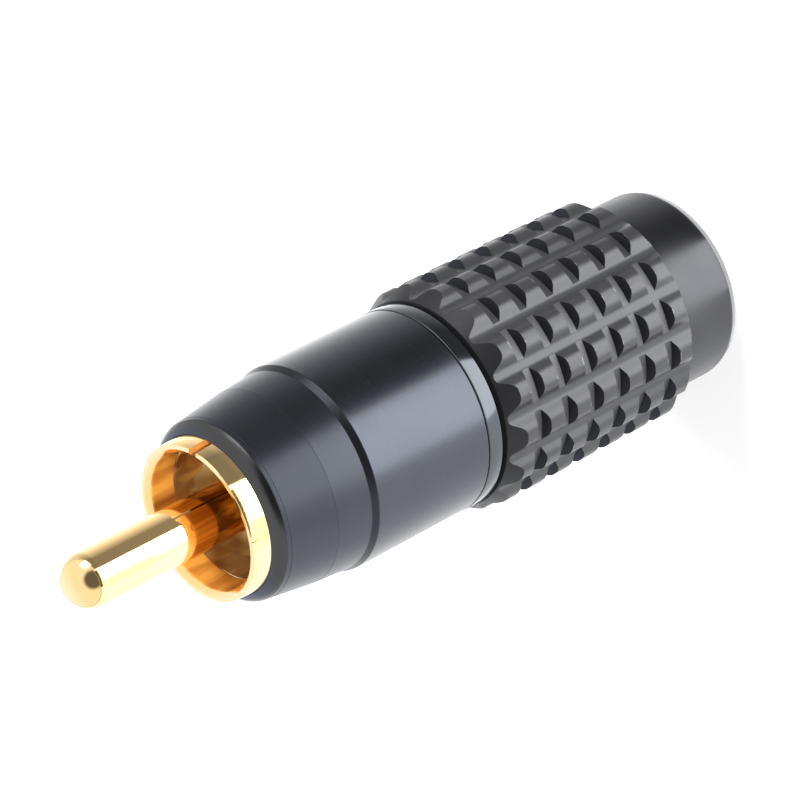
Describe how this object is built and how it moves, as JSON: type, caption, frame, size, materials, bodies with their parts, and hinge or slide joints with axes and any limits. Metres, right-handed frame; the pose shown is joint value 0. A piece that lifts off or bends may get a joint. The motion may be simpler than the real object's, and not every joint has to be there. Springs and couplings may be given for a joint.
{
  "type": "rca_plug",
  "caption": "Cable-mount RCA plug with a tapered black metal shell, a coding ring, a fluted screw-on bushing with a chuck inside, a gold center pin and a split gold ground sleeve",
  "frame": {"origin": "middle of the bushing's rear end face, where the plug stands", "axes": "+Z runs along the plug's axis from the cable end to the pin's tip; -Y faces the side that the picture looks at"},
  "size_m": [0.014, 0.014, 0.0465],
  "materials": {
    "black_metal_grip": "black nickel look, satin gloss",
    "black_metal_shell": "black nickel look, gloss",
    "ring_satin": "satin",
    "gold_plate": "polished gold plating",
    "chuck_plastic": "matte",
    "insulator_plastic": "matte"
  },
  "bodies": {
    "bushing": {"bushing": "black_metal_grip"},
    "chuck": {"chuck": "chuck_plastic"},
    "front": {"front_shell": "black_metal_shell", "coding_ring": "ring_satin", "ground_sleeve": "gold_plate", "insulator": "insulator_plastic", "center_pin": "gold_plate"}
  },
  "joints": [
    {"name": "chuck_turn", "type": "hinge", "parent": "bushing", "child": "chuck", "pos_m": [0, 0, 0.01], "axis": [0, 0, 1], "range_deg": [0, 2160]},
    {"name": "front_slide", "type": "slide", "parent": "chuck", "child": "front", "axis": [0, 0, 1], "range_m": [0, 0.003]}
  ],
  "couplings": [
    {"joint": "front_slide", "follows": "chuck_turn", "m_per_rad": 0.00007957}
  ]
}
